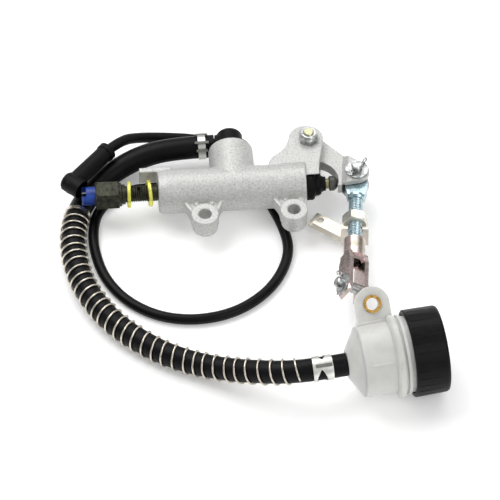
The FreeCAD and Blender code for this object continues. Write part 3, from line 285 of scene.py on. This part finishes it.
# ---- helpers --------------------------------------------------------------------------
def link(name, data, look, body):
    """A new piece in the scene, riding a body."""
    piece = bpy.data.objects.new(name, data)
    bpy.context.scene.collection.objects.link(piece)
    if look is not None:
        data.materials.append(look.material)
    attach(piece, body)
    return piece


def smooth(mesh):
    mesh.polygons.foreach_set("use_smooth", [True] * len(mesh.polygons))


def cord_curve(name, route, diameter, look):
    """A smooth cord whose control points are the route's points."""
    curve = bpy.data.curves.new(name, "CURVE")
    curve.dimensions = "3D"
    spline = curve.splines.new("NURBS")
    spline.points.add(len(route) - 1)
    for point, (x, y, height) in zip(spline.points, route):
        point.co = (x, y, FLOOR_Z + height, 1.0)
    spline.order_u = 3
    spline.use_endpoint_u = True
    spline.resolution_u = 12
    curve.bevel_depth = diameter / 2
    curve.bevel_resolution = 6
    curve.use_fill_caps = True
    return link(name, curve, look, "cylinder")


def centre_line(piece):
    """Points along a cord's spline."""
    bare = piece.data.copy()
    bare.bevel_depth = 0.0
    bare.use_fill_caps = False
    holder = bpy.data.objects.new("centre_line", bare)
    bpy.context.scene.collection.objects.link(holder)
    bpy.context.view_layer.update()
    mesh = bpy.data.meshes.new_from_object(holder.evaluated_get(bpy.context.evaluated_depsgraph_get()))
    points = [v.co.copy() for v in mesh.vertices]
    bpy.data.objects.remove(holder)
    bpy.data.curves.remove(bare)
    bpy.data.meshes.remove(mesh)
    return points


class Path:
    """Arc-length lookups, with a frame that does not twist."""

    def __init__(self, points):
        self.points = points
        self.at = [0.0]
        for a, b in zip(points, points[1:]):
            self.at.append(self.at[-1] + (b - a).length)
        self.length = self.at[-1]
        count = len(points)
        self.tangents = [(points[min(k + 1, count - 1)] - points[max(k - 1, 0)]).normalized()
                         for k in range(count)]
        side = self.tangents[0].cross(Vector((0, 0, 1))).normalized()
        self.sides = []
        for tangent in self.tangents:
            side = (side - tangent * side.dot(tangent)).normalized()
            self.sides.append(side)

    def frame(self, s):
        s = min(max(s, 0.0), self.length)
        k = next((i for i in range(1, len(self.at)) if self.at[i] >= s), len(self.at) - 1)
        t = (s - self.at[k - 1]) / max(self.at[k] - self.at[k - 1], 1e-9)
        point = self.points[k - 1].lerp(self.points[k], t)
        tangent = self.tangents[k - 1].lerp(self.tangents[k], t).normalized()
        side = self.sides[k - 1].lerp(self.sides[k], t)
        side = (side - tangent * side.dot(tangent)).normalized()
        return point, tangent, side, tangent.cross(side)

    def nearest(self, target):
        target = Vector(target)
        return self.at[min(range(len(self.points)), key=lambda k: (self.points[k] - target).length)]


def sweep(name, points, radius, look, body, sides):
    """Round wire through the points, closed off at its ends."""
    bm = bmesh.new()
    count = len(points)
    rings = []
    normal = None
    for k, point in enumerate(points):
        tangent = (points[min(k + 1, count - 1)] - points[max(k - 1, 0)]).normalized()
        if normal is None:
            normal = tangent.orthogonal().normalized()
        normal = (normal - tangent * normal.dot(tangent)).normalized()
        other = tangent.cross(normal)
        rings.append([bm.verts.new(point + (normal * math.cos(a) + other * math.sin(a)) * radius)
                      for a in (math.tau * i / sides for i in range(sides))])
    for ring, following in zip(rings, rings[1:]):
        for i in range(sides):
            j = (i + 1) % sides
            bm.faces.new((ring[i], ring[j], following[j], following[i]))
    bm.faces.new(list(reversed(rings[0])))
    bm.faces.new(rings[-1])
    bmesh.ops.recalc_face_normals(bm, faces=bm.faces)
    mesh = bpy.data.meshes.new(name)
    bm.to_mesh(mesh)
    bm.free()
    smooth(mesh)
    return link(name, mesh, look, body)


# ---- the supply hose, its guard and the switch's lead ----------------------------------
hose = cord_curve("hose", HOSE_ROUTE, HOSE_DIAMETER, hose_black)
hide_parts("supply_hose")
lead = cord_curve("lead", LEAD_ROUTE, LEAD_DIAMETER, lead_black)
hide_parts("switch_lead")

hose_path = Path(centre_line(hose))
GUARD_START = (-0.0964, 0.0148, -0.0032)
GUARD_END = (0.0196, -0.1176, 0.0124)
GUARD_TURNS = 33
GUARD_WIRE_R = 0.00058
GUARD_COIL_R = 0.00715
GUARD_STEPS_PER_TURN = 28
GUARD_SIDES = 8
GUARD_PITCH_FIRST = 0.84                  # the pitch grows from this share of the mean
GUARD_PITCH_GROWTH = 0.16
GUARD_SLACK = ((0.00035, 1.7, 0.0), (0.00025, 0.61, 1.0))      # size, rate and phase of uneven winding
guard_from, guard_to = hose_path.nearest(GUARD_START), hose_path.nearest(GUARD_END)
coil = []
for k in range(GUARD_TURNS * GUARD_STEPS_PER_TURN + 1):
    turn = k / GUARD_STEPS_PER_TURN
    share = turn / GUARD_TURNS
    share *= GUARD_PITCH_FIRST + GUARD_PITCH_GROWTH * share
    slack = sum(size * math.sin(turn * rate + phase) for size, rate, phase in GUARD_SLACK)
    point, _, side, up = hose_path.frame(guard_from + share * (guard_to - guard_from) + slack)
    angle = math.tau * turn
    coil.append(point + (side * math.cos(angle) + up * math.sin(angle)) * GUARD_COIL_R)
guard = sweep("guard_coil", coil, GUARD_WIRE_R, wire_metal, "cylinder", GUARD_SIDES)
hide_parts("hose_guard")


# ---- the hose's two clamps --------------------------------------------------------------
FACING = Vector((0.04, -0.64, 0.77))      # angle 0 on both bands faces this way
BAND_FIT = 0.0001                         # gap between hose and band
BAND_THICKNESS = 0.0006
BAND_ROW = 0.0003
BAND_SIDES = 150
EAR_SUNK = 0.0003                         # how far the ears' feet stand off the band's inner face


def formed_band(name, node, middle, width, notches, ears):
    """Sheet band round the hose, middle metres along it.

    Angles turn from FACING, and a share of 0 to 1 goes across the width.
    Notches: angle, share, reach as an angle, half width.
    Ears: angle, share, wide along the hose, tall from the inner face, depth round the hose.
    """
    bm = bmesh.new()
    radius = HOSE_DIAMETER / 2 + BAND_FIT
    rows, around = max(8, int(width / BAND_ROW)), BAND_SIDES
    _, tangent, side, up = hose_path.frame(middle)
    facing = math.atan2(FACING.dot(up), FACING.dot(side))
    sense = 1.0 if side.cross(up).dot(tangent) > 0 else -1.0

    def at(share, angle, r):
        place, _, across, over = hose_path.frame(middle + (share - 0.5) * width)
        turn = facing + sense * angle
        return place + (across * math.cos(turn) + over * math.sin(turn)) * r

    def cut_out(share, angle):
        for place, across, reach, half in notches:
            span = 1.0 - abs((angle - place + math.pi) % math.tau - math.pi) / reach
            if span <= 0:
                continue
            opening = half * min(1.0, math.sqrt(2 * span)) * (0.5 + 0.5 * span)
            if abs(share - across) * width < opening:
                return True
        return False

    grids = [[[bm.verts.new(at(k / rows, math.tau * i / around, r)) for i in range(around)]
              for k in range(rows + 1)] for r in (radius, radius + BAND_THICKNESS)]
    for k in range(rows):
        for i in range(around):
            if cut_out((k + 0.5) / rows, math.tau * (i + 0.5) / around):
                continue
            j = (i + 1) % around
            inner, outer = grids
            bm.faces.new((inner[k][i], inner[k + 1][i], inner[k + 1][j], inner[k][j]))
            bm.faces.new((outer[k][j], outer[k + 1][j], outer[k + 1][i], outer[k][i]))
    bmesh.ops.delete(bm, geom=[v for v in bm.verts if not v.link_faces], context="VERTS")
    edges = [e for e in bm.edges if e.is_boundary]
    index = {}
    for layer, grid in enumerate(grids):
        for k, line in enumerate(grid):
            for i, vert in enumerate(line):
                if vert.is_valid:
                    index[vert] = (layer, k, i)
    for edge in edges:
        first, second = (index[v] for v in edge.verts)
        if first[0] == 0:
            a, b = edge.verts
            c, d = grids[1][second[1]][second[2]], grids[1][first[1]][first[2]]
            bm.faces.new((a, b, c, d))
    for angle, share, wide, tall, depth in ears:
        half = depth / 2 / radius
        low, high = radius + EAR_SUNK, radius + tall
        corners = [at(share + q * wide / 2 / width, angle + w * half, r)
                   for r in (low, high) for q, w in ((-1, -1), (1, -1), (1, 1), (-1, 1))]
        box = [bm.verts.new(c) for c in corners]
        for loop in ((0, 1, 2, 3), (7, 6, 5, 4), (0, 4, 5, 1), (1, 5, 6, 2), (2, 6, 7, 3), (3, 7, 4, 0)):
            bm.faces.new([box[q] for q in loop]).material_index = 1
    bmesh.ops.recalc_face_normals(bm, faces=bm.faces)
    mesh = bpy.data.meshes.new(name)
    bm.to_mesh(mesh)
    bm.free()
    piece = link(name, mesh, band_metal, "cylinder")
    # the ears and bars take the darker copy of the band's steel: painted shade
    mesh.materials.append(ear_painted_shade_metal.material)
    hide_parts(node)
    return piece


wide_band = formed_band("reservoir_band", "reservoir_hose_clamp",
                        middle=hose_path.length - 0.0134, width=0.0108,
                        notches=[(1.25, 0.42, 1.12, 0.0031), (-1.40, 0.5, 0.66, 0.0021)],
                        ears=[(-0.20, 0.55, 0.0088, 0.0013, 0.0017)])
narrow_band = formed_band("elbow_band", "elbow_hose_clamp",
                          middle=0.0070, width=0.0042, notches=[],
                          ears=[(0.26, 0.5, 0.0078, 0.0026, 0.0010),
                                (-0.26, 0.5, 0.0062, 0.0026, 0.0010),
                                (1.35, 0.5, 0.0070, 0.0011, 0.0022)])


# ---- castings with worn edges -----------------------------------------------------------
def softened(name, node, look, body, voxel, rounds):
    """A copy of a CAD node with its sharp edges worn round, as a casting's are."""
    piece = link(name, nodes[node].data.copy(), None, body)
    piece.data.materials.clear()
    remesh = piece.modifiers.new("remesh", "REMESH")
    remesh.mode = "VOXEL"
    remesh.voxel_size = voxel
    remesh.use_smooth_shade = True
    relax = piece.modifiers.new("relax", "SMOOTH")
    relax.factor = 0.5
    relax.iterations = rounds
    bpy.context.view_layer.update()
    finished = bpy.data.meshes.new_from_object(
        piece.evaluated_get(bpy.context.evaluated_depsgraph_get()))
    piece.modifiers.clear()
    piece.data = finished
    finished.materials.append(look.material)
    smooth(finished)
    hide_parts(node)
    return piece


softened("casting", "cylinder_body", cast, "cylinder", voxel=0.00036, rounds=7)
softened("lever_casting", "lever", lever_cast, "lever", voxel=0.00032, rounds=5)


# ---- soft pieces between the cylinder and its piston -------------------------------------
def flexing(name, node, look):
    """A copy of a CAD node, left where the CAD has it, with the node hidden."""
    piece = bpy.data.objects.new(name, nodes[node].data.copy())
    bpy.context.scene.collection.objects.link(piece)
    piece.data.materials.clear()
    piece.data.materials.append(look.material)
    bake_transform(piece)
    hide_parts(node)


flexing("spring_coil", "return_spring", wire_metal)
flexing("boot_bellows", "dust_boot", boot_black)

# ---- the pull rod's thread --------------------------------------------------------------
ROD_PIN = Vector((0.0620, 0.0235, BORE_Z))
ROD_LEAN = math.radians(5.8)
ROD_ALONG = Vector((-math.sin(ROD_LEAN), -math.cos(ROD_LEAN), 0.0))
ROD_ACROSS = Vector((math.cos(ROD_LEAN), -math.sin(ROD_LEAN), 0.0))
THREAD_FROM, THREAD_TO = 0.0163, 0.0530
THREAD_ROOT, THREAD_CREST, THREAD_PITCH = 0.00345, 0.00395, 0.00125
THREAD_SIDES, THREAD_STEP = 40, 0.00012
THREAD_OVERLAP = 0.0002                   # how far the eye's cut end reaches into the thread
THREAD_FADE_IN, THREAD_FADE_OUT = 0.0012, 0.0008
THREAD_FADE_START = 0.35                  # the fade's value where the thread begins
THREAD_TAPER = 0.0004                     # the root is this much thinner where the thread fades
THREAD_FLANK, THREAD_FLAT = 2.6, 0.15     # slope of the flanks, and share kept flat at the root
WELD = 1e-7


def threaded_rod():
    """The rod's plain eye from the CAD, with its shank cut as a real thread."""
    bm = bmesh.new()
    bm.from_mesh(nodes["pull_rod"].data)
    bmesh.ops.remove_doubles(bm, verts=bm.verts, dist=WELD)
    cut = bmesh.ops.bisect_plane(bm, geom=bm.verts[:] + bm.edges[:] + bm.faces[:], dist=WELD,
                                 plane_co=ROD_PIN + ROD_ALONG * (THREAD_FROM + THREAD_OVERLAP),
                                 plane_no=ROD_ALONG, clear_outer=True)
    bmesh.ops.holes_fill(bm, edges=[e for e in cut["geom_cut"] if isinstance(e, bmesh.types.BMEdge)])
    for face in bm.faces:
        face.smooth = False
    around, steps = THREAD_SIDES, int((THREAD_TO - THREAD_FROM) / THREAD_STEP)
    rings = []
    for k in range(steps + 1):
        along = THREAD_FROM + (THREAD_TO - THREAD_FROM) * k / steps
        fade = min(1.0, (THREAD_TO - along) / THREAD_FADE_OUT,
                   THREAD_FADE_START + (along - THREAD_FROM) / THREAD_FADE_IN)
        ring = []
        for i in range(around):
            angle = math.tau * i / around
            phase = ((along / THREAD_PITCH) - i / around) % 1.0
            ridge = min(1.0, max(0.0, THREAD_FLANK * (0.5 - abs(phase - 0.5)) - THREAD_FLAT))
            radius = (THREAD_ROOT - THREAD_TAPER + THREAD_TAPER * fade
                      + (THREAD_CREST - THREAD_ROOT) * ridge * fade)
            ring.append(bm.verts.new(ROD_PIN + ROD_ALONG * along + ROD_ACROSS * (radius * math.cos(angle))
                                     + Vector((0, 0, radius * math.sin(angle)))))
        rings.append(ring)
    new_faces = []
    for ring, following in zip(rings, rings[1:]):
        for i in range(around):
            j = (i + 1) % around
            new_faces.append(bm.faces.new((ring[i], ring[j], following[j], following[i])))
    new_faces.append(bm.faces.new(rings[0]))
    new_faces.append(bm.faces.new(rings[-1]))
    for face in new_faces[:-2]:
        face.smooth = True
    bmesh.ops.recalc_face_normals(bm, faces=bm.faces)
    mesh = bpy.data.meshes.new("pull_rod_threaded")
    bm.to_mesh(mesh)
    bm.free()
    return mesh


rod = link("pull_rod_threaded", threaded_rod(), blue_zinc, "pull_rod")
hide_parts("pull_rod")

# ---- stage ----------------------------------------------------------------------------
FLOOR_HALF = 3.0
FLOOR_GLOW = 0.22
WORLD_STRENGTH = 0.52
LIGHT_AIM = Vector((0.0, -0.02, 0.0))

floor_mesh = bpy.data.meshes.new("floor")
floor_mesh.from_pydata([(x * FLOOR_HALF, y * FLOOR_HALF, FLOOR_Z)
                        for x, y in ((-1, -1), (1, -1), (1, 1), (-1, 1))], [], [(0, 1, 2, 3)])
floor = bpy.data.objects.new("floor", floor_mesh)
bpy.context.scene.collection.objects.link(floor)
floor_look = Look("floor_paper", (0.93, 0.93, 0.93), 0.9)
floor_look.tint(floor_look.noise(0.25), [(0.3, (0.925, 0.925, 0.925)), (0.7, (0.945, 0.945, 0.945))])
floor_look.put("Emission Color", (1.0, 1.0, 1.0, 1.0))
floor_look.put("Emission Strength", FLOOR_GLOW)
floor_mesh.materials.append(floor_look.material)

world = bpy.data.worlds.new("studio")
world.use_nodes = True
world.node_tree.nodes["Background"].inputs["Color"].default_value = (1.0, 1.0, 1.0, 1.0)
world.node_tree.nodes["Background"].inputs["Strength"].default_value = WORLD_STRENGTH
bpy.context.scene.world = world


def softbox(name, place, size, power):
    """A rectangular lamp at a place, turned towards LIGHT_AIM."""
    light = bpy.data.lights.new(name, "AREA")
    light.shape = "RECTANGLE"
    light.size, light.size_y = size
    light.energy = power
    lamp = bpy.data.objects.new(name, light)
    lamp.location = place
    lamp.rotation_euler = (LIGHT_AIM - Vector(place)).to_track_quat("-Z", "Y").to_euler()
    bpy.context.scene.collection.objects.link(lamp)


softbox("key", place=(-0.45, 0.35, 1.1), size=(0.9, 0.7), power=8.0)
softbox("fill", place=(0.7, -0.8, 0.8), size=(0.5, 0.9), power=4.0)
softbox("top", place=(0.2, 0.7, 0.9), size=(1.4, 0.3), power=4.0)
